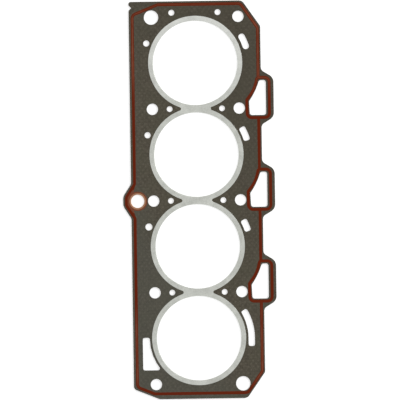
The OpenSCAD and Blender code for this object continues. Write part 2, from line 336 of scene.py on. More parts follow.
def folded_section(clear: float, low_reach: float, high_reach: float, heights: Range,
                   sheet: float, bend: float, edge: float) -> list[Vector]:
    """Draws the section of a sheet that is folded into a U round a hole.

    Args:
        clear: Radius of the hole that is left clear.
        low_reach: Radius that the lower flange reaches, with a softened edge.
        high_reach: Radius that the upper flange reaches, left open there.
        heights: Lowest and highest point of the folded piece.
        sheet: Thickness of the sheet.
        bend: Outside radius of the folds.
        edge: Radius of the softened edge.

    Returns:
        The section's points, from the upper flange's top down round the hole and back up inside.
    """
    low, high = heights
    root = clear + bend
    bottom, top = Vector((root, low + bend)), Vector((root, high - bend))
    return [Vector((high_reach, high)),
            *arc(top, bend, 90, 180, FOLD_STEP),
            *arc(bottom, bend, 180, 270, FOLD_STEP),
            Vector((low_reach - edge, low)),
            Vector((low_reach, low + edge)),
            Vector((low_reach, low + sheet - edge)),
            Vector((low_reach - edge, low + sheet)),
            *arc(bottom, bend - sheet, 270, 180, INNER_FOLD_STEP),
            *arc(top, bend - sheet, 180, 90, INNER_FOLD_STEP),
            Vector((high_reach, high - sheet))]


def lay_spline(data: bpy.types.Curve, places: Sequence[Vector], height: float,
               closed: bool) -> bpy.types.Spline:
    """Lays a run of points into a curve.

    Args:
        data: The curve.
        places: The run's flat points.
        height: How high the run lies.
        closed: Whether the last point joins the first.

    Returns:
        The run's spline.
    """
    spline = data.splines.new("POLY")
    spline.points.add(len(places) - 1)
    for point, place in zip(spline.points, places):
        point.co = (place.x, place.y, height, 1.0)
    spline.use_cyclic_u = closed
    return spline


def settle(shape: Shape, name: str, smooth_below: float = 20.0) -> bpy.types.Object:
    """Makes a finished object of a mesh drawn in millimetres.

    Args:
        shape: The mesh, which is freed.
        name: The object's name.
        smooth_below: Edges that turn by less than this many degrees shade smooth.

    Returns:
        The object, at the origin, with its place in its mesh.
    """
    bmesh.ops.remove_doubles(shape, verts=shape.verts[:], dist=MERGE)
    bmesh.ops.recalc_face_normals(shape, faces=shape.faces[:])
    bmesh.ops.scale(shape, vec=(MM, MM, MM), verts=shape.verts[:])
    mesh = bpy.data.meshes.new(name)
    shape.to_mesh(mesh)
    shape.free()
    mesh.shade_smooth()
    mesh.set_sharp_from_angle(angle=math.radians(smooth_below))
    piece = bpy.data.objects.new(name, mesh)
    bpy.context.scene.collection.objects.link(piece)
    return piece


def turned_over(piece: bpy.types.Object, plane: float, name: str) -> bpy.types.Object:
    """Copies a piece to the other face of the gasket.

    Args:
        piece: The piece on one face.
        plane: Height of the mirror's plane, in millimetres.
        name: The copy's name.

    Returns:
        The mirrored copy.
    """
    copy = bmesh.new()
    copy.from_mesh(piece.data)
    bmesh.ops.scale(copy, vec=(1 / MM, 1 / MM, 1 / MM), verts=copy.verts[:])
    mirror = Matrix.Translation((0, 0, 2 * plane)) @ Matrix.Scale(-1, 4, UP)
    bmesh.ops.transform(copy, matrix=mirror, verts=copy.verts[:])
    return settle(copy, name)


def dress(piece: bpy.types.Object, material: bpy.types.Material) -> None:
    """Gives a piece its one material."""
    piece.data.materials.clear()
    piece.data.materials.append(material)


def hand_over(piece: bpy.types.Object, material: bpy.types.Material, slot: str,
              *nodes: str) -> None:
    """Dresses a new piece and puts it on the gasket's body.

    Args:
        piece: The new piece.
        material: Its material.
        slot: The record's material slot that it belongs to; not used.
        nodes: The CAD nodes that it stands for.
    """
    dress(piece, material)
    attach(piece, "root")
    if nodes:
        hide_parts(*nodes)
    LOG.info("%s: %d faces", piece.name, len(piece.data.polygons))


# Finishes


class Mixer:
    """The nodes of a material or of the world, with short calls for those that are used here."""

    grain_roughness = 0.55

    def __init__(self, owner: bpy.types.ID) -> None:
        """Starts with the shader that a new material or world has.

        Args:
            owner: The new material or world.
        """
        owner.use_nodes = True
        self.owner = owner
        self.tree = owner.node_tree
        self.shader = self.tree.nodes.get("Principled BSDF") or self.tree.nodes["Background"]

    @property
    def place(self) -> Socket:
        """Returns the place on the piece, in metres."""
        return self.tree.nodes.new("ShaderNodeTexCoord").outputs["Object"]

    def feed(self, socket: Socket, value: object) -> None:
        """Sets a socket to a value, or links it where the value is a socket.

        Args:
            socket: The socket that takes the value.
            value: A number, a colour or another node's socket.
        """
        if isinstance(value, Socket):
            self.tree.links.new(value, socket)
        else:
            socket.default_value = value

    def feed_named(self, node: bpy.types.Node, inputs: dict[str, object]) -> None:
        """Feeds a node's inputs by name, with _ for a space."""
        for name, value in inputs.items():
            self.feed(node.inputs[name.replace("_", " ")], value)

    def surface(self, **inputs: object) -> None:
        """Feeds the shader's inputs by name, with _ for a space."""
        self.feed_named(self.shader, inputs)

    def node(self, kind: str, **inputs: object) -> bpy.types.Node:
        """Adds a node.

        Args:
            kind: The node's type.
            inputs: Values or sockets for its inputs, by name, with _ for a space.

        Returns:
            The node.
        """
        made = self.tree.nodes.new(kind)
        self.feed_named(made, inputs)
        return made

    def axis(self, name: str) -> Socket:
        """Returns one coordinate of the place on the piece, in millimetres."""
        parts = self.node("ShaderNodeSeparateXYZ", Vector=self.place).outputs
        return self.product(parts[name], 1 / MM)

    def grain(self, size: float, detail: float, reading: Reading = Reading.EVEN) -> Socket:
        """Adds a noise pattern on the piece.

        Args:
            size: Size of its features in millimetres.
            detail: Number of finer layers in it.
            reading: Which way the features are drawn out.

        Returns:
            The pattern's value, about 0.5 on average.
        """
        mapping = self.node("ShaderNodeMapping", Vector=self.place, Scale=reading.value)
        noise = self.node("ShaderNodeTexNoise", Vector=mapping.outputs["Vector"],
                          Scale=1.0 / (size * MM), Detail=detail, Roughness=self.grain_roughness)
        return noise.outputs["Fac"]

    def spread(self, value: Socket, low: float, high: float, from_low: float = NOISE_LOW,
               from_high: float = NOISE_HIGH) -> Socket:
        """Maps a range of a value, by default that of a noise pattern, to another range.

        Args:
            value: The value.
            low: Result at the range's low end.
            high: Result at the range's high end.
            from_low: Low end of the range that is read.
            from_high: High end of the range that is read.

        Returns:
            The mapped value.
        """
        made = self.node("ShaderNodeMapRange", Value=value, From_Min=from_low, From_Max=from_high,
                         To_Min=low, To_Max=high)
        return made.outputs["Result"]

    def shown(self) -> Socket:
        """Returns 1 for the rays of the camera, gloss and glass, which show a background, or 0."""
        path = self.tree.nodes.new("ShaderNodeLightPath").outputs
        return self.combine(Sum.MAXIMUM, path["Is Camera Ray"], path["Is Glossy Ray"],
                            path["Is Transmission Ray"])

    def swing(self, pattern: Socket, reach: float, middle: float = 0.0) -> Socket:
        """Maps a noise pattern to a range that reaches as far below its middle as above it."""
        return self.spread(pattern, middle - reach, middle + reach)

    def combine(self, how: Sum, *parts: object) -> Socket:
        """Works one number out of several, one after the other.

        Args:
            how: The operation.
            parts: Values or sockets, at least two.

        Returns:
            The result.
        """
        result = parts[0]
        for part in parts[1:]:
            made = self.tree.nodes.new("ShaderNodeMath")
            made.operation = how.name
            self.feed(made.inputs[0], result)
            self.feed(made.inputs[1], part)
            result = made.outputs["Value"]
        return result

    def total(self, *parts: object) -> Socket:
        """Returns the sum of values or sockets."""
        return self.combine(Sum.ADD, *parts)

    def product(self, *parts: object) -> Socket:
        """Returns the product of values or sockets."""
        return self.combine(Sum.MULTIPLY, *parts)

    def gap(self, one: object, other: object) -> Socket:
        """Returns how far two numbers lie apart, whichever is the larger."""
        return self.combine(Sum.ABSOLUTE, self.combine(Sum.SUBTRACT, one, other), 0.0)

    def distance(self, place: Vector) -> Socket:
        """Returns how far the place on the piece lies from an upright line, in millimetres."""
        steps = [self.gap(self.axis(name), part) for name, part in zip("XY", place)]
        return self.combine(Sum.SQRT, self.total(*(self.product(s, s) for s in steps)), 0.0)

    def blend(self, share: object, one: object, other: object) -> Socket:
        """Mixes two colours.

        Args:
            share: How much of the second shows, from 0 to 1.
            one: First colour or socket.
            other: Second colour or socket.

        Returns:
            The mixed colour.
        """
        made = self.tree.nodes.new("ShaderNodeMix")
        made.data_type = "RGBA"
        self.feed(made.inputs["Factor"], share)
        for socket, colour in (("A_Color", one), ("B_Color", other)):
            target = next(s for s in made.inputs if s.identifier == socket)
            self.feed(target, (*colour, 1.0) if isinstance(colour, tuple) else colour)
        return next(s for s in made.outputs if s.identifier == "Result_Color")

    def bump(self, height: Socket, depth: float, strength: float) -> None:
        """Adds fine relief to the surface.

        Args:
            height: The relief's height, from 0 to 1.
            depth: What 1 stands for, in millimetres.
            strength: Share of the relief that shows.
        """
        made = self.node("ShaderNodeBump", Height=height, Distance=depth * MM, Strength=strength)
        self.surface(Normal=made.outputs["Normal"])


@dataclass(frozen=True)
class FacingFinish:
    """Matt fibre and graphite facing, flecked and mottled, with painted shade on the top right
    corner and a painted cool sheen on the low left one.

    The ranges of the painted shade and the painted cool sheen lie along the slant from the low
    left corner to the top right one.
    """

    name: str = "facing fibre"
    dark: Colour = (0.0530, 0.0462, 0.0336)
    light: Colour = (0.0975, 0.0857, 0.0630)
    olive: Colour = (0.0740, 0.0720, 0.0480)
    # Colours of the painted shade and the painted cool sheen
    painted_shade: Colour = (0.0445, 0.0385, 0.0280)
    painted_cool_sheen: Colour = (0.0830, 0.0890, 0.0770)
    fleck_size: float = 0.7
    mottle_size: float = 2.6
    band_size: float = 9.0
    cloud_size: float = 26.0
    # Ranges of the painted shade and the painted cool sheen along the slant, in millimetres
    painted_shade_range: Range = (-10.0, 110.0)
    painted_cool_sheen_range: Range = (-75.0, -40.0)
    roughness: Range = (0.62, 0.82)

    def make(self) -> bpy.types.Material:
        """Mixes the finish.

        Returns:
            The material.
        """
        mixer = Mixer(bpy.data.materials.new(self.name))
        fleck = mixer.grain(self.fleck_size, 4.0)
        mottle = mixer.grain(self.mottle_size, 1.0)
        band = mixer.grain(self.band_size, 2.0, Reading.ALONG_Y)
        cloud = mixer.grain(self.cloud_size, 2.0)
        tone = mixer.total(mixer.swing(fleck, 0.45), mixer.swing(band, 0.08, 0.5),
                           mixer.swing(mottle, 0.24))
        colour = mixer.blend(tone, self.dark, self.light)
        colour = mixer.blend(mixer.spread(cloud, 0.0, 0.55, 0.45, 0.75), colour, self.olive)
        corner = mixer.total(mixer.axis("X"), mixer.product(mixer.axis("Y"), 0.5))
        # Painted shade: the facing darkens towards the top right corner
        colour = mixer.blend(mixer.spread(corner, 0.0, 0.37, *self.painted_shade_range), colour, self.painted_shade)
        # Painted cool sheen: the facing turns cooler towards the low left corner
        colour = mixer.blend(mixer.spread(corner, 0.3, 0.0, *self.painted_cool_sheen_range), colour, self.painted_cool_sheen)
        mixer.surface(Base_Color=colour, Roughness=mixer.spread(fleck, *self.roughness),
                      Specular_IOR_Level=0.11)
        mixer.bump(fleck, 0.03, 0.6)
        return mixer.owner


@dataclass(frozen=True)
class BeadFinish:
    """Printed silicone, dark red, and tan on parts of its crest and where it is thin.

    By height it runs from darker flanks to a redder crest: partly thin translucent print at the
    edges, partly painted highlight on the crest and painted shade on the flanks. Its crest is tan
    on the runs towards the gasket's ends and less so at the very ends. Its low print round the oil
    feed is thin. The crest and thin ranges are shares of its height.
    """

    middle_z: float
    face_rise: float
    crown_rise: float
    oil_at: Vector
    name: str = "bead silicone"
    crown: Colour = (0.118, 0.0125, 0.0012)
    flank: Colour = (0.095, 0.0160, 0.0050)
    tan: Colour = (0.195, 0.0640, 0.0330)
    tan_crest_range: Range = (95.0, 125.0)
    low_end_range: Range = (-182.0, -170.0)
    high_end_range: Range = (180.0, 187.0)
    crest_range: Range = (0.91, 0.985)
    thin_range: Range = (0.45, 0.65)
    oil_range: Range = (11.6, 12.2)
    grain_size: float = 0.5
    cloud_size: float = 7.0
    roughness: Range = (0.32, 0.48)

    def make(self) -> bpy.types.Material:
        """Mixes the finish.

        Returns:
            The material.
        """
        mixer = Mixer(bpy.data.materials.new(self.name))
        along = mixer.axis("Y")
        rise = mixer.gap(mixer.axis("Z"), self.middle_z)
        thick = mixer.spread(rise, 0.0, 1.0, self.face_rise, self.crown_rise)
        cloud = mixer.grain(self.cloud_size, 2.0)
        # Tan on the crest, more on the runs towards the gasket's ends and less at the very ends
        tan_crest = mixer.product(mixer.spread(mixer.gap(along, 0.0), 0.0, 0.9, *self.tan_crest_range),
                             mixer.spread(along, 0.1, 1.0, *self.low_end_range),
                             mixer.spread(along, 1.0, 0.5, *self.high_end_range),
                             mixer.spread(thick, 0.1, 1.0, *self.crest_range),
                             mixer.spread(cloud, 0.6, 1.0))
        thin = mixer.product(mixer.spread(mixer.distance(self.oil_at), 0.8, 0.0, *self.oil_range),
                             mixer.spread(thick, 1.0, 0.0, *self.thin_range))
        # Darker flanks and redder crest by height: partly thin translucent edges, partly painted
        # highlight on the crest and painted shade on the flanks
        mottled = mixer.total(thick, mixer.swing(cloud, 0.12))
        colour = mixer.blend(mixer.spread(mottled, 0.0, 1.0, 0.1, 0.8), self.flank, self.crown)
        colour = mixer.blend(mixer.combine(Sum.MAXIMUM, tan_crest, thin), colour, self.tan)
        mixer.surface(Base_Color=colour, Roughness=mixer.spread(cloud, *self.roughness),
                      Specular_IOR_Level=0.06)
        mixer.bump(mixer.grain(self.grain_size, 2.0), 0.01, 0.5)
        return mixer.owner


@dataclass(frozen=True)
class SheetMetalFinish:
    """Satin rolled sheet, with rolling lines, soft clouds, faint scuffs and a painted reflection
    that brightens it towards the top end.
    """

    name: str
    low: Colour
    high: Colour
    roughness: Range
    # Painted reflection: how far the sheet is blended to white at its top end
    painted_reflection: float = 0.0
    painted_reflection_range: Range = (90.0, 160.0)
    line_size: float = 0.35
    scuff_size: float = 1.6
    cloud_size: float = 9.0

    def make(self) -> bpy.types.Material:
        """Mixes the finish.

        Returns:
            The material.
        """
        mixer = Mixer(bpy.data.materials.new(self.name))
        lines = mixer.grain(self.line_size, 2.0, Reading.ALONG_Y)
        scuff = mixer.grain(self.scuff_size, 5.0)
        cloud = mixer.grain(self.cloud_size, 3.0)
        tone = mixer.total(mixer.swing(cloud, 0.4, 0.5), mixer.swing(lines, 0.18),
                           mixer.swing(scuff, 0.25))
        # Painted reflection: the sheet is blended towards white up the Y axis
        painted_reflection_share = mixer.spread(mixer.axis("Y"), 0.0, self.painted_reflection, *self.painted_reflection_range)
        colour = mixer.blend(painted_reflection_share, mixer.blend(tone, self.low, self.high), WHITE)
        mixer.surface(Base_Color=colour, Roughness=mixer.spread(scuff, *self.roughness),
                      Metallic=1.0)
        mixer.bump(lines, 0.004, 0.5)
        return mixer.owner


FACING = FacingFinish()
RUBBED = FacingFinish(name="rubbed dots", dark=(0.067, 0.059, 0.044), light=(0.115, 0.102, 0.077))
STEEL = SheetMetalFinish(name="core steel", low=(0.30, 0.31, 0.32), high=(0.40, 0.41, 0.42),
                         roughness=(0.42, 0.55))
# The tinned sheet's painted reflection brightens the armour round the top bore
TIN = SheetMetalFinish(name="tinned sheet", low=(0.435, 0.445, 0.411), high=(0.560, 0.573, 0.532),
                       roughness=(0.36, 0.46), painted_reflection=0.165)
COPPER = SheetMetalFinish(name="coppered sheet", low=(0.30, 0.145, 0.080),
                          high=(0.40, 0.210, 0.120), roughness=(0.30, 0.40))


# Pieces of the gasket


@dataclass(frozen=True)
class Sheets:
    """The flat sheets of the gasket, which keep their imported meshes."""

    facings: tuple[str, ...] = ("upper_facing", "lower_facing")
    core: str = "core_plate"

    def fit(self) -> None:
        """Dresses both facings and the core."""
        for finish, nodes in ((FACING, self.facings), (STEEL, (self.core,))):
            material = finish.make()
            for node in nodes:
                dress(frame["nodes"][node], material)
                LOG.info("%s: %s", node, finish.name)


@dataclass
class ClinchDots:
    """The low round dots that the core's tangs raise on a facing, in staggered rows.

    They stand where rays down onto the upper facing's surface find it level.
    """

    layout: Layout
    surface: BVHTree
    column: float = 4.75
    row: float = 3.0
    width: float = 2.0
    rise: float = 0.035
    sink: float = 0.004
    shoulder_reach: float = 0.78
    shoulder_rise: float = 0.6
    crown_reach: float = 0.42
    margin: float = 0.6
    sides: int = 12
    probes: int = 8
    probe_rise: float = 1.0
    level_slack: float = 0.01

    def dome(self) -> Shape:
        """Models one low dome, with its rim just under the facing's surface.

        Returns:
            The dome, round the origin.
        """
        half = self.width / 2
        section = [Vector((half, -self.sink)),
                   Vector((self.shoulder_reach * half, self.shoulder_rise * self.rise)),
                   Vector((self.crown_reach * half, self.rise))]
        shell = spun(section, Vector((0.0, 0.0)), self.sides, False)
        crest = [edge for edge in shell.edges
                 if edge.is_boundary and edge.verts[0].co.z > self.rise / 2]
        bmesh.ops.edgeloop_fill(shell, edges=crest)
        return shell

    def has_room(self, at: Vector) -> bool:
        """Tells whether a dot and its margin lie wholly on the facing's outer level.

        Args:
            at: The dot's middle, in millimetres.

        Returns:
            True if the facing is open and level all round.
        """
        face = self.layout.upper_face
        reach = self.width / 2 + self.margin
        around = [at + reach * heading(360.0 / self.probes * k) for k in range(self.probes)]
        for probe in (at, *around):
            start = Vector((probe.x, probe.y, face + self.probe_rise)) * MM
            hit = self.surface.ray_cast(start, -UP)[0]
            if hit is None or abs(hit.z / MM - face) > self.level_slack:
                return False
        return True

    def places(self) -> list[Vector]:
        """Finds where a whole dot has room on the facing.

        Returns:
            The middles of the dots, in millimetres.
        """
        columns = math.ceil(2 * self.layout.ear_reach / self.column)
        rows = math.ceil((self.layout.top_y - self.layout.bottom_y) / self.row)
        grid = [Vector((i * self.column + (self.column / 2 if j % 2 else 0.0), j * self.row))
                for j in range(-rows // 2, rows // 2 + 1)
                for i in range(-columns // 2, columns // 2 + 1)]
        return [at for at in grid if self.has_room(at)]

    def fit(self) -> None:
        """Builds, dresses and hands over the dots of both faces."""
        dome = self.dome()
        master = bpy.data.meshes.new("dot")
        dome.to_mesh(master)
        dome.free()
        shape = bmesh.new()
        for at in self.places():
            dot = master.copy()
            dot.transform(Matrix.Translation((at.x, at.y, self.layout.upper_face)))
            shape.from_mesh(dot)
            bpy.data.meshes.remove(dot)
        bpy.data.meshes.remove(master)
        upper = settle(shape, "upper_clinch_dots", smooth_below=60.0)
        lower = turned_over(upper, self.layout.middle_z, "lower_clinch_dots")
        material = RUBBED.make()
        for piece in (upper, lower):
            hand_over(piece, material, "facing")


@dataclass
class SealingBead:
    """The printed silicone bead round the edge, the ear ports and the oil feed."""

    layout: Layout
    width: float = 2.9
    height: float = 0.12
    fullness: float = 0.8
    dome_step: int = 15
    fine_width: float = 1.2
    sink: float = 0.02
    bend: float = 4.5
    inner_bend: float = 2.25
    inset: float = 3.1
    inset_left: float = 3.4
    inset_right: float = 2.7
    inset_bottom: float = 5.2
    inset_dowel: float = 2.6
    port_inner: float = 2.5
    port_outer: float = 3.2
    port_low: float = 7.0
    port_high: float = 27.0
    port_knee: float = 6.5
    port_near: float = 52.3
    port_reach: float = 68.2
    port_top_width: float = 6.5
    lobe_nose: float = 4.8
    lobe_root: float = 16.8
    ring_gap: float = 0.1
    tie_angle: float = 125.0
    fill_count: int = 2
    fill_step: float = 1.15
    fill_half: float = 64.0
    fill_taper: float = 6.0
    spacing: float = 1.5
    seed: int = 11
    swell_kept: float = 0.8
    swell_step: float = 0.02

    @property
    def right_line(self) -> float:
        """Returns how far right the run down the ears' edge lies."""
        return self.layout.right_edge - self.inset_right

    @property
    def above(self) -> float:
        """Returns how far over its bolt row a port's loop reaches."""
        return self.port_high + self.port_inner

    @property
    def below(self) -> float:
        """Returns how far under its bolt row a port's loop reaches."""
        return self.port_low + self.port_inner

    def guide(self) -> list[tuple[float, float, float]]:
        """Lists the edges that the outer run follows, anticlockwise from the top ear.

        Returns:
            The corner at which each edge begins, and how far inside the edge the bead lies.
        """
        lay = self.layout
        right, left = lay.right_edge, -lay.left_edge
        top, bottom = lay.top_y, lay.bottom_y
        return [(right, lay.rows[3], self.inset_right),
                (right, top - lay.right_cuts.side, self.inset),
                (right - lay.right_cuts.end, top, self.inset),
                (left + lay.top_left_cut.end, top, self.inset),
                (left, top - lay.top_left_cut.side, self.inset_left),
                (left, self.lobe_root, self.inset),
                (-lay.lobe_reach, self.lobe_nose, self.inset),
                (-lay.lobe_reach, -self.lobe_nose, self.inset),
                (left, -self.lobe_root, self.inset_left),
                (left, bottom + lay.low_left_cut.side, self.inset),
                (left + lay.low_left_cut.end, bottom, self.inset_bottom),
                (right - lay.right_cuts.end, bottom, self.inset_dowel),
                (right, bottom + lay.right_cuts.side, self.inset_right),
                (right, lay.rows[1], 0.0)]

    def edge_run(self) -> list[Vector]:
        """Draws the run round the outer edge.

        Returns:
            Its points, from the top ear anticlockwise to the lowest.
        """
        guide = self.guide()
        corners = [Corner(self.right_line, self.layout.rows[3] + self.above)]
        for one, here, other in zip(guide, guide[1:], guide[2:]):
            at = Vector(here[:2])
            along = (at - Vector(one[:2])).normalized()
            away = (Vector(other[:2]) - at).normalized()
            left, next_left = along.orthogonal(), away.orthogonal()
            ahead = (here[2] - one[2] * left.dot(next_left)) / along.dot(next_left)
            met = at + one[2] * left + along * ahead
            corners.append(Corner(met.x, met.y, self.bend))
        corners.append(Corner(self.right_line, self.layout.rows[1] - self.below))
        return rounded_run(corners)

    def port_loop(self, row: float) -> list[Vector]:
        """Draws the closed loop round an ear port.

        Args:
            row: Height of the bolt row on which the port sits.

        Returns:
            The loop's points.
        """
        inner = self.port_inner
        half = self.layout.pitch / 2
        arc_radius = math.hypot(self.port_reach - self.port_top_width, half - self.port_high)
        radius = arc_radius - inner
        high, knee = (-math.degrees(math.asin((half - height) / radius))
                      for height in (self.port_high + inner, self.port_knee + inner / 2))
        middle = (high + knee) / 2
        centre = Vector((0.0, row + half))
        top, low = centre + radius * heading(high), centre + radius * heading(knee)
        crest = centre + radius / math.cos(math.radians(high - middle)) * heading(middle)
        far = self.port_reach + self.port_outer
        return rounded_loop([Corner(far, row - self.below, self.bend),
                             Corner(far, row + self.above, self.bend),
                             Corner(*top, self.inner_bend),
                             Corner(*crest, radius / 2),
                             Corner(*low, self.inner_bend),
                             Corner(self.port_near - inner, row - self.below, self.bend)])

    def oil_runs(self) -> list[tuple[list[Vector], bool]]:
        """Draws the fine runs at the oil feed: ring, ties to the lobe's roots and low arcs.

        Returns:
            Each run's points, and whether it is closed.
        """
        lay = self.layout
        ring = lay.eyelet_radius + self.ring_gap + self.fine_width / 2
        runs = [(arc(lay.oil_at, ring, 0, 360 - CORNER_STEP, CORNER_STEP), True)]
        for side in (-1, 1):
            start = lay.oil_at + ring * heading(side * self.tie_angle)
            root = Vector((self.inset_left - lay.left_edge,
                           side * (self.lobe_root - self.width / 2)))
            runs.append(([start, root], False))
        for k in range(1, self.fill_count + 1):
            half = self.fill_half - self.fill_taper * k
            runs.append((arc(lay.oil_at, ring + k * self.fill_step, 180 - half, 180 + half,
                             CORNER_STEP), False))
        return runs

    def paths(self) -> list[tuple[list[Vector], bool, float]]:
        """Lists every run of the bead.

        Returns:
            Each run's points, whether it is closed, and its width as a share of the full width.
        """
        ears = self.layout.rows[1:4]
        runs = [(self.edge_run(), False, 1.0)]
        runs += [(self.port_loop(row), True, 1.0) for row in ears]
        for lower, upper in zip(ears, ears[1:]):
            runs.append(([Vector((self.right_line, lower + self.above)),
                          Vector((self.right_line, upper - self.below))], False, 1.0))
        runs += [(points, closed, self.fine_width / self.width)
                 for points, closed in self.oil_runs()]
        return [(respaced(points, self.spacing, closed), closed, share)
                for points, closed, share in runs]

    def section(self) -> bpy.types.Object:
        """Draws the bead's domed section.

        Returns:
            A closed flat curve, to be swept along the runs.
        """
        data = bpy.data.curves.new("bead section", "CURVE")
        data.dimensions = "2D"
        half = self.width / 2
        dome = [Vector((half * math.cos(math.radians(a)),
                        self.height * math.sin(math.radians(a)) ** self.fullness))
                for a in range(0, 181, self.dome_step)]
        outline = [*dome, Vector((-half, -self.sink)), Vector((half, -self.sink))]
        lay_spline(data, outline, 0.0, True)
        return bpy.data.objects.new("bead section", data)

    def swept(self) -> Shape:
        """Sweeps the section along the runs, with a slight swelling here and there.

        Returns:
            The bead's mesh.
        """
        rng = random.Random(self.seed)
        section = self.section()
        data = bpy.data.curves.new("bead runs", "CURVE")
        data.dimensions = "3D"
        data.twist_mode = "Z_UP"
        data.bevel_mode = "OBJECT"
        data.bevel_object = section
        data.use_fill_caps = True
        for points, closed, share in self.paths():
            swell = 0.0
            for point in lay_spline(data, points, self.layout.upper_face, closed).points:
                swell = self.swell_kept * swell + rng.uniform(-self.swell_step, self.swell_step)
                point.radius = share * (1.0 + swell)
        runs = bpy.data.objects.new("bead runs", data)
        bpy.context.scene.collection.objects.link(runs)
        graph = bpy.context.evaluated_depsgraph_get()
        mesh = bpy.data.meshes.new_from_object(runs.evaluated_get(graph))
        shape = bmesh.new()
        shape.from_mesh(mesh)
        bpy.data.meshes.remove(mesh)
        for helper in (runs, section):
            bpy.data.objects.remove(helper)
        return shape

    def fit(self) -> None:
        """Builds, dresses and hands over the bead of both faces."""
        lay = self.layout
        upper = settle(self.swept(), "upper_silicone_bead", smooth_below=40.0)
        lower = turned_over(upper, lay.middle_z, "lower_silicone_bead")
        face_rise = lay.upper_face - lay.middle_z
        material = BeadFinish(lay.middle_z, face_rise, face_rise + self.height, lay.oil_at).make()
        for piece, node in ((upper, "upper_bead"), (lower, "lower_bead")):
            hand_over(piece, material, "bead", node)


@dataclass
class FireRings:
    """The armour: a sheet in one piece across the webs, folded through each bore."""

    layout: Layout
    sheet: float = 0.25
    bend: float = 0.5
    fillet: float = 1.7
    split: float = 0.4
    edge: float = 0.05
    join: float = 1.5
    join_slack: float = 0.3
    steps: int = 192
    ring_step: float = 2.0
    fillet_step: float = 8.0
    wall_rise: float = 0.5
    sharp_turn: float = 1.0

    @property
    def join_radius(self) -> float:
        """Returns where each folded collar meets the flat upper flange."""
        return self.layout.bore_radius + self.join

    def outline(self) -> list[Vector]:
        """Draws the outline of the upper flanges, with a fillet in each corner of the webs.

        Returns:
            Its points, up the right side and down the left. The left is the right turned half
            round, as the bores stand evenly about the origin.
        """
        radius, half = self.layout.flange_radius, self.layout.pitch / 2
        across = math.sqrt((radius + self.fillet) ** 2 - half ** 2)
        lean = math.degrees(math.atan2(half, across))
        first, *_, last = self.layout.bore_ys
        right: list[Vector] = []
        for y in self.layout.bore_ys:
            right += arc(Vector((0, y)), radius, -90 if y == first else -lean,
                         90 if y == last else lean, self.ring_step)[:-1]
            if y < last:
                right += arc(Vector((across, y + half)), self.fillet, 180 + lean, 180 - lean,
                             self.fillet_step)[:-1]
        return [*right, *(-point for point in right)]

    def at_join(self, place: Vector) -> bool:
        """Tells whether a place lies on the circle where a collar meets the flange."""
        return any(abs(math.hypot(place.x, place.y - y) - self.join_radius) < self.join_slack
                   for y in self.layout.bore_ys)

    def flange(self) -> Shape:
        """Models the flat upper flange.

        Returns:
            The flange, with a soft edge and open holes for the collars.
        """
        top = self.layout.armour_top
        plate = bmesh.new()
        rim = [plate.verts.new((point.x, point.y, top)) for point in self.outline()]
        for pair in zip(rim, [*rim[1:], rim[0]]):
            plate.edges.new(pair)
        for y in self.layout.bore_ys:
            bmesh.ops.create_circle(plate, segments=self.steps, radius=self.join_radius,
                                    matrix=Matrix.Translation((0, y, top)))
        bmesh.ops.triangle_fill(plate, use_beauty=True, use_dissolve=False, edges=plate.edges[:])
        grown = bmesh.ops.extrude_face_region(plate, geom=plate.faces[:])["geom"]
        bmesh.ops.translate(plate, vec=(0, 0, -self.sheet),
                            verts=[item for item in grown if isinstance(item, bmesh.types.BMVert)])
        plate.normal_update()
        walls = [face for face in plate.faces if abs(face.normal.z) < self.wall_rise]
        inner = [face for face in walls if self.at_join(face.calc_center_median())]
        bmesh.ops.delete(plate, geom=inner, context="FACES_ONLY")
        upper = [edge for edge in plate.edges if len(edge.link_faces) == 2
                 and edge.calc_face_angle(0.0) > self.sharp_turn
                 and min(vert.co.z for vert in edge.verts) > top - self.sheet / 2]
        bmesh.ops.bevel(plate, geom=upper, offset=self.edge, offset_type="OFFSET", affect="EDGES",
                        segments=2, profile=0.5, material=-1)
        return plate

    def collar(self, index: int) -> Shape:
        """Models one bore's folded collar and its lower flange.

        Args:
            index: Which bore, from the bottom up.

        Returns:
            The collar, open at its upper edge and cut flat at each web.
        """
        lay = self.layout
        y = lay.bore_ys[index]
        section = folded_section(lay.bore_radius, lay.flange_radius, self.join_radius,
                                 (0.0, lay.armour_top), self.sheet, self.bend, self.edge)
        shell = spun(section, Vector((0, y)), self.steps, False)
        for side, has_web in ((1, index < len(lay.bore_ys) - 1), (-1, index > 0)):
            if not has_web:
                continue
            plane = y + side * (lay.pitch - self.split) / 2
            cut = bmesh.ops.bisect_plane(shell, geom=[*shell.verts, *shell.edges, *shell.faces],
                                         plane_co=(0, plane, 0), plane_no=(0, side, 0),
                                         clear_outer=True)["geom_cut"]
            edges = [item for item in cut if isinstance(item, bmesh.types.BMEdge)]
            bmesh.ops.edgeloop_fill(shell, edges=edges)
        return shell

    def fit(self) -> None:
        """Builds the armour as one piece, dresses it and hands it over."""
        shape = self.flange()
        for index in range(len(self.layout.bore_ys)):
            absorb(shape, self.collar(index))
        hand_over(settle(shape, "fire_ring_armour"), TIN.make(), "armour", "bore_armour")


@dataclass
class OilEyelet:
    """The eyelet that is folded through the pressure oil feed."""

    layout: Layout
    sheet: float = 0.2
    bend: float = 0.4
    edge: float = 0.04
    steps: int = 96

    def outline(self) -> list[Vector]:
        """Draws the eyelet's section.

        Returns:
            Its points, as distance from the hole's middle and height, once round.
        """
        lay = self.layout
        section = folded_section(lay.oil_radius, lay.eyelet_radius, lay.eyelet_radius - self.edge,
                                 (lay.eyelet_low, lay.eyelet_high), self.sheet, self.bend,
                                 self.edge)
        return [*section,
                Vector((lay.eyelet_radius, lay.eyelet_high - self.sheet + self.edge)),
                Vector((lay.eyelet_radius, lay.eyelet_high - self.edge))]

    def fit(self) -> None:
        """Builds the eyelet by spinning its section, dresses it and hands it over."""
        shell = spun(self.outline(), self.layout.oil_at, self.steps, True)
        hand_over(settle(shell, "folded_oil_eyelet"), COPPER.make(), "eyelet", "oil_eyelet")


# Stage, light and camera


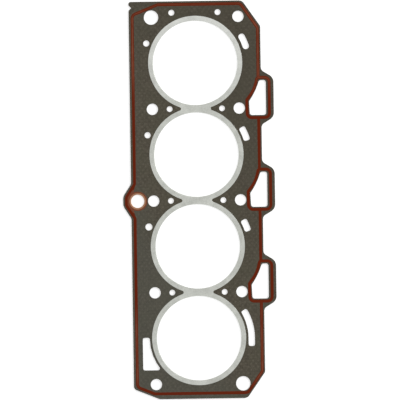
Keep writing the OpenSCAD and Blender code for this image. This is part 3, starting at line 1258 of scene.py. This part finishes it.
@dataclass
class Studio:
    """A plain white floor, a soft lamp, an even sky and the camera over the gasket.

    Its lengths are in millimetres, the lamp's power in watts and the camera's turn in radians.
    """

    layout: Layout
    floor_reach: float = 3000.0
    floor_drop: float = 0.05
    paper_low: Colour = (0.80, 0.80, 0.80)
    paper_high: Colour = (0.82, 0.82, 0.82)
    paper_size: float = 30.0
    glow: float = 0.42
    sky: float = 0.75
    lamp_power: float = 14.0
    lamp_size: float = 900.0
    lamp_at: tuple[float, float, float] = (1300.0, 700.0, 1100.0)
    lens: float = 278.45
    sensor: float = 36.0
    camera_at: Range = (2.75, 0.40)
    camera_height: float = 3000.0
    camera_turn: float = -0.01466
    sight: Range = (100.0, 30000.0)

    def paper(self) -> bpy.types.Material:
        """Mixes the floor's material: white to the camera, and clear from below.

        Returns:
            The material.
        """
        mixer = Mixer(bpy.data.materials.new("floor paper"))
        tree = mixer.tree
        tree.nodes.remove(mixer.shader)
        shade = mixer.spread(mixer.grain(self.paper_size, 2.0), 0.0, 1.0)
        diffuse = mixer.node("ShaderNodeBsdfDiffuse",
                             Color=mixer.blend(shade, self.paper_low, self.paper_high))
        glow = mixer.node("ShaderNodeEmission", Strength=mixer.product(mixer.shown(), self.glow))
        lit = tree.nodes.new("ShaderNodeAddShader")
        mixer.feed(lit.inputs[0], diffuse.outputs[0])
        mixer.feed(lit.inputs[1], glow.outputs[0])
        clear = tree.nodes.new("ShaderNodeBsdfTransparent")
        choice = tree.nodes.new("ShaderNodeMixShader")
        below = tree.nodes.new("ShaderNodeNewGeometry").outputs["Backfacing"]
        for socket, part in zip(choice.inputs, (below, lit.outputs[0], clear.outputs[0])):
            mixer.feed(socket, part)
        mixer.feed(tree.nodes["Material Output"].inputs["Surface"], choice.outputs[0])
        return mixer.owner

    def floor(self) -> None:
        """Lays the floor, which takes shadows and throws none."""
        plane = bmesh.new()
        bmesh.ops.create_grid(plane, x_segments=1, y_segments=1, size=self.floor_reach,
                              matrix=Matrix.Translation((0, 0, -self.floor_drop)))
        floor = settle(plane, "floor")
        dress(floor, self.paper())
        floor.visible_diffuse = False
        floor.visible_shadow = False

    def light(self) -> None:
        """Sets the even sky and the soft lamp up on the right."""
        world = bpy.data.worlds.new("sky")
        bpy.context.scene.world = world
        mixer = Mixer(world)
        mixer.surface(Color=(*WHITE, 1.0),
                      Strength=mixer.spread(mixer.shown(), self.sky, 1.0, 0.0, 1.0))
        lamp = bpy.data.lights.new("soft lamp", "AREA")
        lamp.shape = "DISK"
        lamp.size = self.lamp_size * MM
        lamp.energy = self.lamp_power
        stand = bpy.data.objects.new("soft lamp", lamp)
        stand.location = metres(self.lamp_at)
        stand.rotation_euler = (-stand.location).to_track_quat("-Z", "Y").to_euler()
        bpy.context.scene.collection.objects.link(stand)

    def camera(self) -> None:
        """Hangs the camera straight over the gasket, turned as in the photograph."""
        data = bpy.data.cameras.new("camera")
        data.lens = self.lens
        data.sensor_width = self.sensor
        data.clip_start, data.clip_end = metres(self.sight)
        camera = bpy.data.objects.new("camera", data)
        height = self.camera_height + self.layout.armour_top
        camera.location = metres((*self.camera_at, height))
        camera.rotation_euler = (0.0, 0.0, self.camera_turn)
        bpy.context.scene.collection.objects.link(camera)
        bpy.context.scene.camera = camera

    def build(self) -> None:
        """Sets up the whole studio, with colours shown as they are."""
        bpy.context.scene.view_settings.view_transform = "Standard"
        self.camera()
        self.floor()
        self.light()
        LOG.info("studio: sky %.2f, lamp %.1f W", self.sky, self.lamp_power)


def surface_of(node: str) -> BVHTree:
    """Returns a CAD node's surface for ray tests."""
    return BVHTree.FromObject(frame["nodes"][node], bpy.context.evaluated_depsgraph_get())


def main() -> None:
    """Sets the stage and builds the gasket's pieces in order."""
    layout = Layout.read()
    Studio(layout).build()
    Sheets().fit()
    ClinchDots(layout, surface_of("upper_facing")).fit()
    SealingBead(layout).fit()
    FireRings(layout).fit()
    OilEyelet(layout).fit()


if __name__ == "__main__":
    logging.basicConfig(level=logging.INFO, format="%(name)s: %(message)s")
    main()
